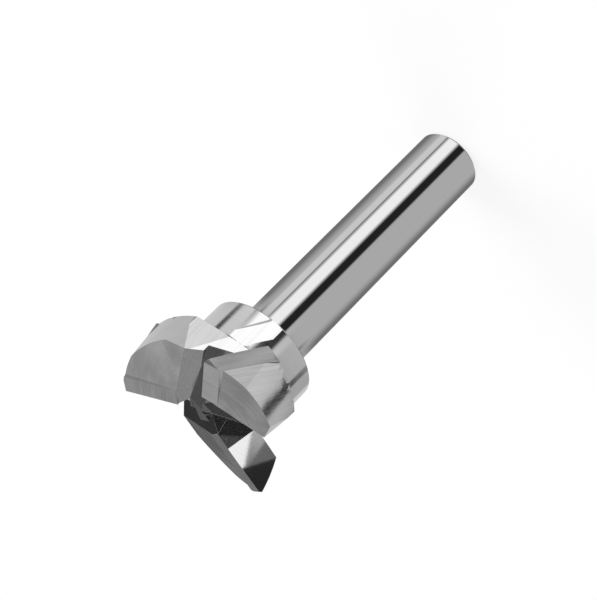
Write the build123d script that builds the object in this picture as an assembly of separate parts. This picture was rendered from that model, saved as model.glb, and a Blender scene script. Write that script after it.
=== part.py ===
from build123d import *
import os
from math import asin, cos, degrees, hypot, radians, sin, tan

# Three-wing router bit with brazed carbide tips. Millimetres and degrees.
# The shank's end face lies at the origin, and +Z runs along the shank towards the cutting end.
# The first wing's rake face crosses the XZ plane, and the others follow at equal angles.

# ---- shank and collar ----
shank_diameter = 12.0
shank_length = 54.0
shank_end_chamfer = 0.5
collar_diameter = 20.2
collar_length = 7.1
collar_chamfer = 0.3

# ---- head ----
wing_count = 3
cutting_diameter = 34.0
cutting_height = 9.35
underside_angle = 7.0         # the head's back face falls towards the collar
shear_angle = 30.5            # the rake face leans back from the axis
dish_angle = 3.9              # the front edges fall towards the centre
land_clearance_angle = 10.0   # behind the front edge, on the carbide
land_eccentricity = 4.5       # the tip's outer land falls away from the cutting circle
back_dish_angle = 1.7         # the steel behind the tips is ground flatter ...
back_clearance_angle = 15.2   # ... and falls away faster
back_eccentricity = 12.25
back_radius = 24.8            # of the steel's outer relief
back_turn_angle = 105.0       # of its centre from the wing, at the front
back_lag_angle = 8.3          # and how far that centre turns back along the head
corner_chamfer = 0.6

# ---- carbide tips ----
tip_thickness = 2.2
tip_inner_radius = 4.8

# ---- point ----
point_radius = 3.0            # the centre is ground off just below the cutting edges
point_drop = 0.1

# ---- gullets ----
web_reach = 9.8               # from the axis out to the gullet's near flat, on the wing's line
web_turn_angle = 6.7          # the flat comes closer to the axis ahead of the wing
web_lean_angle = 2.0          # and towards the front
far_reach = 12.95             # the same three for the flat beyond it, up to the next wing's back
far_turn_angle = 23.5
far_lean_angle = 12.0
pocket_width = 2.3            # at the axis, from the wing's centre line to the pocket's far wall
pocket_flare_angle = 11.5     # the far wall opens outwards
pocket_fall_angle = 35.5      # the pocket's floor falls outwards from the centre
pocket_tilt_angle = 15.0      # and rises ahead, away from the rake face
bevel_height = 66.8           # where the far bevel would cross the axis
bevel_fall_angle = 20.4
bevel_tilt_angle = 30.2
collar_flat_reach = 9.7       # from the axis out to the flat nicked into the collar
collar_flat_start = 4.3       # ahead of the rake plane, and slanting with it
collar_flat_width = 3.4

# ---- worked out from the sizes above ----
shank_radius = shank_diameter / 2
collar_radius = collar_diameter / 2
cutting_radius = cutting_diameter / 2
head_root = shank_length + collar_length
head_back = head_root + (cutting_radius - collar_radius) * tan(radians(underside_angle))
overall_length = head_back + cutting_height
edge_gain = 1 - tan(radians(land_clearance_angle)) * tan(radians(shear_angle))
centre_height = overall_length - cutting_radius * tan(radians(dish_angle)) / edge_gain
corner_y = (overall_length - centre_height) * tan(radians(shear_angle))
corner_angle = degrees(asin(corner_y / cutting_radius))
lag_y = (centre_height - head_back) * tan(radians(shear_angle))
lag_angle = corner_angle + degrees(asin(lag_y / cutting_radius))
reach = 3 * cutting_radius    # long enough to pass right through the head

LOWEST = (Align.CENTER, Align.CENTER, Align.MIN)
HIGHEST = (Align.CENTER, Align.CENTER, Align.MAX)

# The rake plane holds the first wing's cutting edges. Its normal points ahead, into the gullet.
rake = Plane(
    origin=(0, 0, centre_height),
    x_dir=(1, 0, 0),
    z_dir=(0, cos(radians(shear_angle)), -sin(radians(shear_angle))),
)


def side_of(plane, align=LOWEST):
    """Everything on one side of a plane, as a block that is larger than the head."""
    return plane * Box(2 * reach, 2 * reach, reach, align=align)


def beyond_underside():
    """Everything in front of the head's back face, which is a shallow cone around the collar."""
    edge = head_root + (reach - collar_radius) * tan(radians(underside_angle))
    profile = Polyline(
        (0, head_root),
        (collar_radius, head_root),
        (reach, edge),
        (reach, overall_length + reach),
        (0, overall_length + reach),
        close=True,
    )
    return revolve(Plane.XZ * make_face(profile), Axis.Z)


def sloping(height, rise_out, rise_ahead):
    """A plane that crosses the axis at a height and rises outwards and ahead of the wing."""
    normal = (-tan(radians(rise_out)), -tan(radians(rise_ahead)), 1)
    return Plane(origin=(0, 0, height), x_dir=(1, 0, tan(radians(rise_out))), z_dir=normal)


def leaning_cylinder(eccentricity, radius, turn, lag):
    """A cylinder beside the axis, which turns back along the head and runs on past it."""
    front = Vector(eccentricity, 0).rotate(Axis.Z, turn)
    back = front.rotate(Axis.Z, -lag)
    lean = Vector(back.X - front.X, back.Y - front.Y, -cutting_height)
    circle = Pos(front.X, front.Y, overall_length) * Circle(radius)
    return extrude(circle, amount=2 * lean.length, dir=lean)


def outer_land():
    """The tip's outer land, which just touches the cutting circle along the edge."""
    radius = hypot(cutting_radius, land_eccentricity)
    return leaning_cylinder(land_eccentricity, radius, corner_angle + 90, lag_angle)


def land_plane():
    """The carbide's front land."""
    return sloping(centre_height, dish_angle, land_clearance_angle)


def back_plane():
    """The steel's front relief, which meets the land at the tip's inner end."""
    behind = tip_thickness / cos(radians(shear_angle))
    step = behind * (tan(radians(back_clearance_angle)) - tan(radians(land_clearance_angle)))
    flatter = tip_inner_radius * (tan(radians(dish_angle)) - tan(radians(back_dish_angle)))
    return sloping(centre_height + step + flatter, back_dish_angle, back_clearance_angle)


def corner_plane():
    """The small chamfer where the front edge meets the outer edge."""
    corner = Vector(cutting_radius - corner_chamfer, 0, overall_length).rotate(Axis.Z, corner_angle)
    return Plane(origin=corner, z_dir=(1, -tan(radians(land_clearance_angle)), 1))


def tip_blank():
    """The tip's plate against the rake plane, from its inner end out past the cutting circle."""
    plate = Box(reach, 2 * reach, tip_thickness, align=(Align.MIN, Align.CENTER, Align.MAX))
    return rake * Pos(tip_inner_radius, 0, 0) * plate & beyond_underside()


def carbide_tip():
    """One ground tip: front land, outer land and corner chamfer."""
    tip = tip_blank() & outer_land()
    tip -= side_of(land_plane())
    tip -= side_of(corner_plane())
    return tip


def wing_relief():
    """What is ground off the steel behind one tip, outside and in front."""
    following_gullet = Rot(0, 0, -360 / wing_count) * side_of(rake)
    behind = side_of(rake, HIGHEST) & following_gullet & beyond_underside()
    outer_relief = leaning_cylinder(back_eccentricity, back_radius, back_turn_angle, back_lag_angle)
    outside = behind - (outer_relief & outer_land())
    in_front = behind & side_of(back_plane())
    return outside + in_front


def standing_flat(reach_out, turn_angle, lean_angle):
    """A plane across the wing's line at the back of the head, turned and leaning inwards."""
    normal = (1, tan(radians(turn_angle)), tan(radians(lean_angle)))
    return Plane(origin=(reach_out, 0, head_back), z_dir=normal)


def gullet():
    """The chip space ahead of one rake face."""
    ahead = side_of(rake)
    near_flat = standing_flat(web_reach, web_turn_angle, web_lean_angle)
    far_flat = standing_flat(far_reach, far_turn_angle, far_lean_angle)
    outside = ahead & (side_of(near_flat) + side_of(far_flat)) & beyond_underside()

    flare = radians(pocket_flare_angle)
    far_wall = Plane(origin=(0, pocket_width, head_back), z_dir=(-sin(flare), cos(flare), 0))
    floor = sloping(centre_height, -pocket_fall_angle, pocket_tilt_angle)
    pocket = ahead & side_of(far_wall, HIGHEST) & side_of(floor)
    bevel = sloping(bevel_height, -bevel_fall_angle, bevel_tilt_angle)
    far_side = ahead & side_of(far_wall) & side_of(bevel)

    return outside + pocket + far_side


def collar_nick():
    """The slanting flat where the gullet's cutter ran out over the collar."""
    slab = Box(2 * reach, 2 * reach, collar_flat_width, align=LOWEST)
    slot = rake * Pos(0, 0, collar_flat_start) * slab
    return (slot & side_of(standing_flat(collar_flat_reach, 0, 0))) - beyond_underside()


def turned_blank():
    """Shank, collar and head as they come off the lathe."""
    profile = Polyline(
        (0, 0),
        (shank_radius - shank_end_chamfer, 0),
        (shank_radius, shank_end_chamfer),
        (shank_radius, shank_length),
        (collar_radius - collar_chamfer, shank_length),
        (collar_radius, shank_length + collar_chamfer),
        (collar_radius, head_root),
        (cutting_radius, head_back),
        (cutting_radius, overall_length),
        (0, overall_length),
        close=True,
    )
    return revolve(Plane.XZ * make_face(profile), Axis.Z)


def steel_body():
    body = turned_blank()
    for number in range(wing_count):
        turn = Rot(0, 0, number * 360 / wing_count)
        body -= turn * gullet()
        body -= turn * collar_nick()
        body -= turn * wing_relief()
        body -= turn * tip_blank()
    return body - Pos(0, 0, centre_height - point_drop) * Cylinder(point_radius, reach, align=LOWEST)


os.makedirs("parts", exist_ok=True)
export_step(steel_body(), "parts/steel_body.step")
for number in range(wing_count):
    tip = Rot(0, 0, number * 360 / wing_count) * carbide_tip()
    export_step(tip, f"parts/carbide_tip_{number + 1}.step")
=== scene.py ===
import math

import bmesh
import bpy
from mathutils import Matrix, Vector


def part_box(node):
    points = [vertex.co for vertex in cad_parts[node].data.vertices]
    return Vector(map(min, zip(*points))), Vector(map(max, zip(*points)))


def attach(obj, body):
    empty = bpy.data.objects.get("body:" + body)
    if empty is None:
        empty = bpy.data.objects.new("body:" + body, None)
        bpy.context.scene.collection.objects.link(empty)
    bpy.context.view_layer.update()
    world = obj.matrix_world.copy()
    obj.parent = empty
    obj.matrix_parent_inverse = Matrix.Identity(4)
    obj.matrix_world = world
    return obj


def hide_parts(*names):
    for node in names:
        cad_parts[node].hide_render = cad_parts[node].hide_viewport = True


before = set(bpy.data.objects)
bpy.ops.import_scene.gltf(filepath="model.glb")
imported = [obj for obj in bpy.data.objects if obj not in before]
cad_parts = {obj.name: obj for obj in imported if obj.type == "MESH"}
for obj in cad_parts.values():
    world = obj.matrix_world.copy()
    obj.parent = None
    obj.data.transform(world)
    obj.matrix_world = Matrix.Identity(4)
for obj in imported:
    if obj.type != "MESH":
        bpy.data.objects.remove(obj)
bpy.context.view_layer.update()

MM = 0.001

# ---- the bit's own sizes, which tell its faces apart ----
COLLAR_RADIUS = 10.1 * MM
COLLAR_BACK = 54.0 * MM
HEAD_BACK = 61.1 * MM         # at the collar
CENTRE_HEIGHT = 70.004 * MM   # where the rake planes cross the axis
RELIEF_RADIUS = 12.3 * MM     # the steel's outer relief lies farther out than this
RIM_RADIUS = 15.99 * MM       # of the outer reliefs, near enough for its grinding marks
WING_COUNT = 3
SHEAR = math.radians(30.5)    # lean of the rake faces
RAKE_NORMAL = Vector((0, math.cos(SHEAR), -math.sin(SHEAR)))
NEAR_FLAT_NORMAL = Vector((1, math.tan(math.radians(6.7)), math.tan(math.radians(2)))).normalized()
HIGHLIGHT_REACH = 6.8 * MM    # painted highlight: the near flat's colour is painted brighter up to this far ahead of the rake plane
POINT_RADIUS = 3.1 * MM       # the point's small flat lies within this
SAME_WAY = 0.999              # normals whose product is above this face the same way

# ---- how the mesh is finished ----
EDGE_BREAK = 0.07 * MM        # every ground edge of the steel is broken this much
CREASE = math.radians(12)     # faces that meet at less than this belong to one curved surface
SAME_POINT = 0.0005 * MM
SAME_PLANE = math.radians(0.3)


# ---------------------------------------------------------------- node helpers
def new_material(name):
    material = bpy.data.materials.new(name)
    material.use_nodes = True
    nodes = material.node_tree.nodes
    nodes.clear()
    output = nodes.new("ShaderNodeOutputMaterial")
    shader = nodes.new("ShaderNodeBsdfPrincipled")
    material.node_tree.links.new(shader.outputs["BSDF"], output.inputs["Surface"])
    return material, shader


def math_node(tree, operation, a, b=None):
    node = tree.nodes.new("ShaderNodeMath")
    node.operation = operation
    for socket, value in zip(node.inputs, (a, b)):
        if value is None:
            continue
        if isinstance(value, (int, float)):
            socket.default_value = value
        else:
            tree.links.new(value, socket)
    return node.outputs[0]


def mapped(tree, source, from_range, to_range):
    """A value carried from one range to another, with a soft start and end."""
    node = tree.nodes.new("ShaderNodeMapRange")
    node.interpolation_type = "SMOOTHSTEP"
    node.inputs["From Min"].default_value, node.inputs["From Max"].default_value = from_range
    node.inputs["To Min"].default_value, node.inputs["To Max"].default_value = to_range
    tree.links.new(source, node.inputs["Value"])
    return node.outputs["Result"]


def mixed(tree, factor, first, second):
    """The first grey or colour where the factor is 0, and the second where it is 1."""
    node = tree.nodes.new("ShaderNodeMix")
    node.data_type = "RGBA"
    sockets = (node.inputs[0], node.inputs[6], node.inputs[7])
    for socket, value in zip(sockets, (factor, first, second)):
        if isinstance(value, bpy.types.NodeSocket):
            tree.links.new(value, socket)
        elif socket.type == "RGBA":
            socket.default_value = (value, value, value, 1)
        else:
            socket.default_value = value
    return node.outputs[2]


def turned_coordinates(tree, turn, stretch):
    """Object coordinates, turned and then scaled, so that a pattern runs along one of their axes."""
    coordinates = tree.nodes.new("ShaderNodeTexCoord")
    turner = tree.nodes.new("ShaderNodeMapping")
    turner.vector_type = "POINT"
    turner.inputs["Rotation"].default_value = [math.radians(angle) for angle in turn]
    stretcher = tree.nodes.new("ShaderNodeMapping")
    stretcher.inputs["Scale"].default_value = stretch
    tree.links.new(coordinates.outputs["Object"], turner.inputs["Vector"])
    tree.links.new(turner.outputs["Vector"], stretcher.inputs["Vector"])
    return stretcher.outputs["Vector"]


def joined(tree, *values):
    node = tree.nodes.new("ShaderNodeCombineXYZ")
    for socket, value in zip(node.inputs, values):
        tree.links.new(value, socket)
    return node.outputs[0]


def distance(tree, x, y):
    squares = [math_node(tree, "MULTIPLY", side, side) for side in (x, y)]
    return math_node(tree, "SQRT", math_node(tree, "ADD", *squares))


def object_axes(tree):
    coordinates = tree.nodes.new("ShaderNodeTexCoord")
    axes = tree.nodes.new("ShaderNodeSeparateXYZ")
    tree.links.new(coordinates.outputs["Object"], axes.inputs[0])
    return axes.outputs


def round_the_axis(tree, across, along):
    """Marks on arcs about the axis, as a wheel leaves them on the front faces."""
    x, y, z = object_axes(tree)
    radius = distance(tree, x, y)
    out = math_node(tree, "MULTIPLY", radius, across)
    arc = math_node(tree, "MULTIPLY", math_node(tree, "ARCTAN2", y, x), RELIEF_RADIUS * along)
    return joined(tree, out, arc, math_node(tree, "MULTIPLY", z, along))


def along_the_edge(tree, across, along):
    """Marks on the rim that run beside the sheared cutting edge."""
    x, y, z = object_axes(tree)
    arc = math_node(tree, "MULTIPLY", math_node(tree, "ARCTAN2", y, x), RIM_RADIUS)
    beside = math_node(tree, "SUBTRACT", arc, math_node(tree, "MULTIPLY", z, math.tan(SHEAR)))
    out = math_node(tree, "MULTIPLY", beside, across)
    return joined(tree, out, math_node(tree, "MULTIPLY", z, along))


def noise(tree, vector, detail):
    node = tree.nodes.new("ShaderNodeTexNoise")
    node.inputs["Scale"].default_value = 1.0
    node.inputs["Detail"].default_value = detail
    node.inputs["Roughness"].default_value = 0.5
    tree.links.new(vector, node.inputs["Vector"])
    return node.outputs["Fac"]


def bumped(tree, shader, height, strength, distance):
    node = tree.nodes.new("ShaderNodeBump")
    node.inputs["Strength"].default_value = strength
    node.inputs["Distance"].default_value = distance
    tree.links.new(height, node.inputs["Height"])
    tree.links.new(node.outputs["Normal"], shader.inputs["Normal"])


# ---------------------------------------------------------------- metals
def ground_metal(name, dark, light, roughness, lay, lines_per_mm=6.0, groove=0.010, blotch=0.35):
    """A ground face: fine wheel marks with one lay, and tone that wanders a little across them.

    The lay is a turn in degrees, for straight marks, or round_the_axis or along_the_edge. Dark
    and light bound the metal's grey, and the groove is the marks' depth in millimetres.
    """
    material, shader = new_material(name)
    tree = material.node_tree
    across = lines_per_mm / MM / 2
    if callable(lay):
        marks_at = lay(tree, across, across * 0.03)
        wander_at = lay(tree, 260, 150)
    else:
        marks_at = turned_coordinates(tree, lay, (across * 0.02, across, across))
        wander_at = turned_coordinates(tree, lay, (60, 240, 240))
    marks = noise(tree, marks_at, detail=4.0)
    wander = noise(tree, wander_at, detail=2.0)
    fine = math_node(tree, "MULTIPLY", marks, 1 - blotch)
    tone = math_node(tree, "ADD", fine, math_node(tree, "MULTIPLY", wander, blotch))
    colour = mixed(tree, mapped(tree, tone, (0.3, 0.7), (0, 1)), dark, light)
    tree.links.new(colour, shader.inputs["Base Color"])
    smoothness = mapped(tree, marks, (0.3, 0.7), (roughness * 0.8, roughness * 1.25))
    tree.links.new(smoothness, shader.inputs["Roughness"])
    shader.inputs["Metallic"].default_value = 1.0
    bumped(tree, shader, marks, 0.5, groove * MM)
    return material


def turned_metal(name, stretch, detail, greys, roughness, strength, groove):
    """A turned face: fine rings round the axis, which spread its reflections a little up and down."""
    material, shader = new_material(name)
    tree = material.node_tree
    rings = noise(tree, turned_coordinates(tree, (0, 0, 0), stretch), detail)
    tree.links.new(mixed(tree, rings, *greys), shader.inputs["Base Color"])
    tree.links.new(mapped(tree, rings, (0.2, 0.8), roughness), shader.inputs["Roughness"])
    shader.inputs["Metallic"].default_value = 1.0
    bumped(tree, shader, rings, strength, groove * MM)
    return material


def polished_shank():
    return turned_metal("polished_shank", (30, 30, 9000), 3.0, (0.66, 0.74), (0.03, 0.06), 0.25, 0.002)


def turned_collar():
    return turned_metal("turned_collar", (60, 60, 7000), 4.0, (0.76, 0.86), (0.07, 0.11), 0.3, 0.003)


# ---------------------------------------------------------------- merged pieces with broken edges
def merged_copy(node, name):
    """A CAD node's triangles joined into whole faces, so that its edges can be broken."""
    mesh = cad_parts[node].data.copy()
    mesh.name = name
    shape = bmesh.new()
    shape.from_mesh(mesh)
    bmesh.ops.remove_doubles(shape, verts=shape.verts, dist=SAME_POINT)
    bmesh.ops.dissolve_limit(shape, angle_limit=SAME_PLANE, verts=shape.verts, edges=shape.edges)
    for face in shape.faces:
        face.smooth = any(edge.calc_face_angle(math.pi) < CREASE for edge in face.edges)
    shape.to_mesh(mesh)
    shape.free()
    mesh.materials.clear()
    piece = bpy.data.objects.new(name, mesh)
    bpy.context.scene.collection.objects.link(piece)
    return piece


def broken_edges(piece, width):
    """Breaks every edge where two faces meet at an angle, and shades the flats flat."""
    bevel = piece.modifiers.new("broken_edges", "BEVEL")
    bevel.limit_method = "ANGLE"
    bevel.angle_limit = CREASE
    bevel.width = width
    bevel.segments = 2
    bevel.use_clamp_overlap = True
    shading = piece.modifiers.new("shading", "WEIGHTED_NORMAL")
    shading.keep_sharp = True


def wing_turn(number):
    """From the first wing's place to another wing's."""
    return Matrix.Rotation(2 * math.pi * number / WING_COUNT, 3, "Z")


def faces_ahead(normal):
    """Whether a face is one of the rake faces, which look ahead of their wings."""
    turns = [wing_turn(number) for number in range(WING_COUNT)]
    return any(normal.dot(turn @ RAKE_NORMAL) > SAME_WAY for turn in turns)


def standing_ahead(point, normal):
    """How far a point of a gullet's near flat stands ahead of its rake plane, or None elsewhere."""
    for number in range(WING_COUNT):
        back = wing_turn(-number)
        if (back @ normal).dot(NEAR_FLAT_NORMAL) > SAME_WAY:
            return (back @ point - Vector((0, 0, CENTRE_HEIGHT))).dot(RAKE_NORMAL)
    return None


finishes = {
    "shank": polished_shank(),
    "shank_end": ground_metal("shank_end", 0.20, 0.34, 0.30, round_the_axis),
    "collar": turned_collar(),
    "relief": ground_metal("ground_front", 0.43, 0.64, 0.24, round_the_axis, groove=0.006, blotch=0.6),
    "outer": ground_metal("ground_rim", 0.60, 0.74, 0.15, along_the_edge, groove=0.006),
    "gullet": ground_metal("milled_gullet", 0.50, 0.62, 0.11, (0, 90, 0), groove=0.005),
    # painted highlight: a brighter grey for the near flats' run-out and the head's faces by the collar,
    # where they mirror the light
    "painted_highlight": ground_metal("near_flat_painted_highlight", 0.76, 0.88, 0.12, (0, 90, 0), groove=0.004),
    # the point's dark grey is partly its ground finish and partly painted shade of the hollow centre
    # between the wings
    "point": ground_metal("ground_point_painted_shade", 0.14, 0.30, 0.30, (0, 0, 40)),
    "rake": ground_metal("polished_rake", 0.62, 0.68, 0.02, (0, 90, 0), groove=0.0003),
}
finishes["carbide"] = ground_metal(
    "ground_carbide", 0.42, 0.60, 0.20, round_the_axis, lines_per_mm=9.0, groove=0.004
)


def steel_finish(centre, normal):
    """Which finish a face of the steel body has, by where it lies and the way it faces."""
    radius = math.hypot(centre.x, centre.y)
    if centre.z < COLLAR_BACK - 0.1 * MM:
        return finishes["shank"] if normal.z > -0.3 else finishes["shank_end"]
    if centre.z < HEAD_BACK and (radius > COLLAR_RADIUS - 0.15 * MM or normal.z < -0.6):
        return finishes["collar"]
    ahead = standing_ahead(centre, normal)
    if ahead is not None:
        # painted highlight on the near flat's run-out, and on the head's faces below the head's back
        return finishes["painted_highlight"] if ahead < HIGHLIGHT_REACH else finishes["gullet"]
    if centre.z < HEAD_BACK:
        return finishes["painted_highlight"]
    if faces_ahead(normal):
        return finishes["rake"]
    # the point's small flat gets the dark grey, partly painted shade of the hollow centre
    if normal.z > 0.99 and radius < POINT_RADIUS:
        return finishes["point"]
    if normal.z > 0.9:
        return finishes["relief"]
    return finishes["outer"] if abs(normal.z) < 0.25 and radius > RELIEF_RADIUS else finishes["gullet"]


def split_near_flats(piece):
    """Parts each gullet's near flat where the painted highlight on it ends."""
    shape = bmesh.new()
    shape.from_mesh(piece.data)
    for number in range(WING_COUNT):
        forth = wing_turn(number)
        normal = forth @ NEAR_FLAT_NORMAL
        flats = [face for face in shape.faces if face.normal.dot(normal) > SAME_WAY]
        around = set(flats)
        for face in flats:
            around.update(face.edges)
            around.update(face.verts)
        place = forth @ (Vector((0, 0, CENTRE_HEIGHT)) + RAKE_NORMAL * HIGHLIGHT_REACH)
        ahead = forth @ RAKE_NORMAL
        bmesh.ops.bisect_plane(shape, geom=list(around), plane_co=place, plane_no=ahead)
    shape.to_mesh(piece.data)
    shape.free()


def finished(node, finish_of, parted=False):
    """A merged copy of a CAD node, with each face's finish, that replaces it."""
    piece = merged_copy(node, f"{node}_finished")
    if parted:
        split_near_flats(piece)
    used = []
    for face in piece.data.polygons:
        finish = finish_of(face.center, face.normal)
        if finish not in used:
            used.append(finish)
            piece.data.materials.append(finish)
        face.material_index = used.index(finish)
    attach(piece, "root")
    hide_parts(node)
    return piece


def tip_finish(centre, normal):
    return finishes["rake" if faces_ahead(normal) else "carbide"]


steel = finished("steel_body", steel_finish, parted=True)
broken_edges(steel, EDGE_BREAK)

for number in range(1, WING_COUNT + 1):
    tip = finished(f"carbide_tip_{number}", tip_finish)
    broken_edges(tip, EDGE_BREAK / 2)


# ---------------------------------------------------------------- floor
FLOOR_WHITE = 0.85            # share of the floor that is plain white, and shows no shadow


def mixed_shader(tree, factor, first, second):
    node = tree.nodes.new("ShaderNodeMixShader")
    for socket, value in zip(node.inputs, (factor, first, second)):
        if isinstance(value, bpy.types.NodeSocket):
            tree.links.new(value, socket)
        else:
            socket.default_value = value
    return node.outputs[0]


def pale_floor():
    """White for the camera, with the bit's soft shadow. The metal sees the studio through it."""
    material = bpy.data.materials.new("pale_floor")
    material.use_nodes = True
    tree = material.node_tree
    tree.nodes.clear()
    output = tree.nodes.new("ShaderNodeOutputMaterial")
    matte = tree.nodes.new("ShaderNodeBsdfDiffuse")
    matte.inputs["Color"].default_value = (0.9, 0.9, 0.9, 1)
    white = tree.nodes.new("ShaderNodeEmission")
    white.inputs["Color"].default_value = (1, 1, 1, 1)
    white.inputs["Strength"].default_value = 0.985
    clear = tree.nodes.new("ShaderNodeBsdfTransparent")
    path = tree.nodes.new("ShaderNodeLightPath")
    lit = mixed_shader(tree, FLOOR_WHITE, matte.outputs[0], white.outputs[0])
    seen = mixed_shader(tree, path.outputs["Is Camera Ray"], matte.outputs[0], lit)
    through = mixed_shader(tree, path.outputs["Is Glossy Ray"], seen, clear.outputs[0])
    tree.links.new(through, output.inputs["Surface"])
    return material


def floor_plane(size):
    """The floor, level with the shank's end."""
    shape = bmesh.new()
    bmesh.ops.create_grid(shape, x_segments=1, y_segments=1, size=size / 2)
    mesh = bpy.data.meshes.new("floor")
    shape.to_mesh(mesh)
    shape.free()
    mesh.transform(Matrix.Translation((0, 0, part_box("steel_body")[0].z)))
    mesh.materials.append(pale_floor())
    floor = bpy.data.objects.new("floor", mesh)
    bpy.context.scene.collection.objects.link(floor)


floor_plane(6.0)


# ---------------------------------------------------------------- studio
# Plain walls, by height: (top in degrees above the horizon, brightness), from the lowest up.
WALLS = [(-29, .55), (3, .66), (62, .40), (90, .36)]
DEGREES = 180 / math.pi
WALL_BLEND = 1.0              # degrees over which one wall gives way to the next

# Cards and flags that stand in front of the walls: the compass direction of the middle, width,
# bottom, top, softness of the sides, all in degrees, and brightness.
CARDS = {
    "flag under the shank's end": (-75, 50, -60, -42, 20, .04),
    "shaded side": (-75, 130, -42, -29, 50, .20),
    "pale wall": (180, 26, -42, -29, 12, .80),
    "bright card": (140, 34, -42, -16, 8, 1.20),
    "black flag": (104, 27, -42, -27.5, 8, .02),
    "gap beside the pale wall": (165, 4, -42, -29, 3, .20),
    "low wall past the collar": (20, 110, -29, -26, 10, .42),
    "gap left of the collar": (-158, 12, -29, -26, 8, .04),
    "pale card on the right": (38, 30, -26, 3, 22, .76),
    "grey flag": (97, 18, -27.5, -14, 8, .15),
    "stand": (10, 13, -29, 3, 6, .05),
    "black flag beside the stand": (-12, 16, -16, 3, 3, .03),
    "black flag at the front": (-80, 14, -16, 3, 12, .04),
    "black flag above it": (-108, 20, 3, 32, 10, .05),
    "grey flag above the front": (-80, 12, 3, 32, 6, .26),
    "small card": (-66, 7, 3, 32, 4, .60),
    "top card": (-97, 26, 32, 62, 8, .55),
    "flag overhead": (60, 170, 62, 91, 50, .12),
}


# Cards on the studio's floor. A direction is the X and Y of its unit vector.
WHITE_CARD_EDGE = ((.2602, .0304), (.2688, .0409))
GREY_CARD_EDGE = ((.2650, .0246), (.2696, .0397))
CARDS_END = ((.2748, .0256), (.2692, .0400))
CARDS_MIDDLE = (.269, .032)
CARDS_RADIUS = (.021, .030)   # the cards end between these
FLOOR_TOP = -60               # degrees above the horizon where the floor gives way to the walls


def beyond_line(tree, axes, first, second, blend):
    """0 on one side of the line through two directions, and 1 on the other."""
    run = (Vector(second) - Vector(first)).normalized()
    across = (run.y, -run.x)
    start = first[0] * across[0] + first[1] * across[1]
    parts = [math_node(tree, "MULTIPLY", axes[axis], share) for axis, share in zip("XY", across)]
    place = math_node(tree, "ADD", *parts)
    return mapped(tree, place, (start - blend, start + blend), (0, 1))


def card_mask(tree, compass, rise, middle, width, bottom, top, softness):
    """1 on a card and 0 beside it, with soft sides and nearly sharp ends."""
    aside = math_node(tree, "COSINE", math_node(tree, "SUBTRACT", compass, math.radians(middle)))
    away = math_node(tree, "MULTIPLY", math_node(tree, "ARCCOSINE", aside), DEGREES)
    sides = mapped(tree, away, (width / 2 - softness / 2, width / 2 + softness / 2), (1, 0))
    height = math_node(tree, "ABSOLUTE", math_node(tree, "SUBTRACT", rise, (bottom + top) / 2))
    half = (top - bottom) / 2
    ends = mapped(tree, height, (half - WALL_BLEND / 2, half + WALL_BLEND / 2), (1, 0))
    return math_node(tree, "MULTIPLY", sides, ends)


def floor_panels(tree, axes):
    """What a polished rake face shows from underneath: a white card, a grey one and the dark between."""
    beyond_white = beyond_line(tree, axes, *WHITE_CARD_EDGE, 0.0003)
    grey = mapped(tree, axes["Y"], (.024, .040), (.55, .28))
    beyond_grey = beyond_line(tree, axes, *GREY_CARD_EDGE, 0.0008)
    cards = mixed(tree, beyond_white, 1.3, mixed(tree, beyond_grey, grey, 0.19))
    cards = mixed(tree, beyond_line(tree, axes, *CARDS_END, 0.0003), cards, 0.03)
    aside = math_node(tree, "SUBTRACT", axes["X"], CARDS_MIDDLE[0])
    ahead = math_node(tree, "SUBTRACT", axes["Y"], CARDS_MIDDLE[1])
    outside = mapped(tree, distance(tree, aside, ahead), CARDS_RADIUS, (0, 1))
    return mixed(tree, outside, cards, 0.45)


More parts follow.
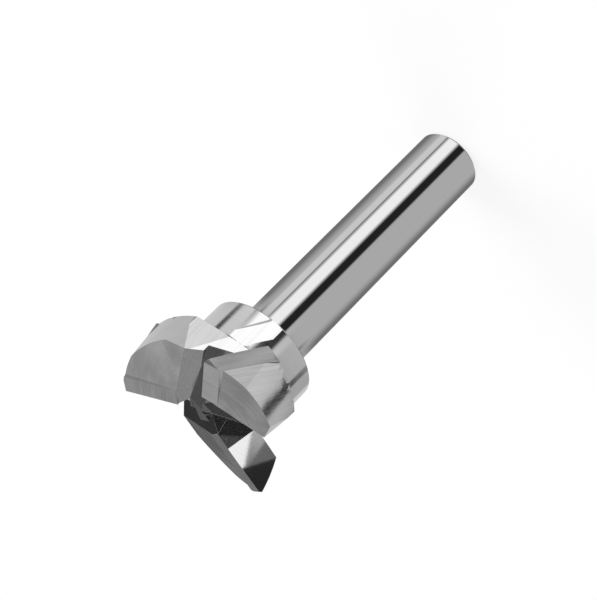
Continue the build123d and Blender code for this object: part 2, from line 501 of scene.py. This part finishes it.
def studio_world():
    """Even light for what is matt, and cards with dark gaps between them for what is polished."""
    world = bpy.data.worlds.new("studio")
    bpy.context.scene.world = world
    world.use_nodes = True
    tree = world.node_tree
    tree.nodes.clear()
    output = tree.nodes.new("ShaderNodeOutputWorld")
    background = tree.nodes.new("ShaderNodeBackground")
    coordinates = tree.nodes.new("ShaderNodeTexCoord")
    axes = tree.nodes.new("ShaderNodeSeparateXYZ")
    tree.links.new(coordinates.outputs["Generated"], axes.inputs[0])
    compass = math_node(tree, "ARCTAN2", axes.outputs["Y"], axes.outputs["X"])
    rise = math_node(tree, "MULTIPLY", math_node(tree, "ARCSINE", axes.outputs["Z"]), DEGREES)
    panels = floor_panels(tree, axes.outputs)
    top = FLOOR_TOP
    for wall_top, brightness in WALLS:
        change = mapped(tree, rise, (top - WALL_BLEND, top + WALL_BLEND), (0, 1))
        panels = mixed(tree, change, panels, brightness)
        top = wall_top
    for middle, width, bottom, top, softness, brightness in CARDS.values():
        inside = card_mask(tree, compass, rise, middle, width, bottom, top, softness)
        panels = mixed(tree, inside, panels, brightness)
    path = tree.nodes.new("ShaderNodeLightPath")
    seen = mixed(tree, path.outputs["Is Glossy Ray"], 0.6, panels)
    seen = mixed(tree, path.outputs["Is Camera Ray"], seen, 1.0)
    tree.links.new(seen, background.inputs["Color"])
    tree.links.new(background.outputs[0], output.inputs["Surface"])


def softbox(name, place, size, power):
    """A square lamp that faces the head and gives the floor its shadow. The metal doesn't mirror it."""
    lamp = bpy.data.lights.new(name, "AREA")
    lamp.shape = "SQUARE"
    lamp.size = size
    lamp.energy = power
    box = bpy.data.objects.new(name, lamp)
    box.location = place
    towards = Vector((0, 0, HEAD_BACK)) - Vector(place)
    box.rotation_euler = towards.to_track_quat("-Z", "Y").to_euler()
    box.visible_glossy = False
    bpy.context.scene.collection.objects.link(box)


studio_world()
softbox("key_softbox", (-0.5, -0.25, 0.75), 0.45, 5.0)
softbox("fill_softbox", (0.6, -0.4, 0.5), 0.6, 3.0)


# ---------------------------------------------------------------- camera
SHANK_UNIT = 6.0 * MM         # camera places are in shank radii, in a frame turned from the bit's
FRAME_TURN = 14.658
CAMERA_PLACE = (-0.380, 49.181, 35.441)
IMAGE_RIGHT = (0.70731, 0.35473, -0.61146)
IMAGE_UP = (-0.70690, 0.35179, -0.61362)
FOCAL_SHARE = 2023 / 600      # focal length over the image height


def place_camera():
    turn = Matrix.Rotation(math.radians(FRAME_TURN), 3, "Z")
    right = (turn @ Vector(IMAGE_RIGHT)).normalized()
    up = (turn @ Vector(IMAGE_UP)).normalized()
    back = right.cross(up).normalized()
    up = back.cross(right)
    data = bpy.data.cameras.new("camera")
    data.sensor_fit = "VERTICAL"
    data.sensor_height = 36.0
    data.lens = 36.0 * FOCAL_SHARE
    data.clip_start = 0.01
    camera = bpy.data.objects.new("camera", data)
    place = turn @ Vector(CAMERA_PLACE) * SHANK_UNIT
    camera.matrix_world = Matrix.Translation(place) @ Matrix((right, up, back)).transposed().to_4x4()
    bpy.context.scene.collection.objects.link(camera)
    bpy.context.scene.camera = camera


place_camera()
bpy.context.scene.view_settings.view_transform = "Standard"
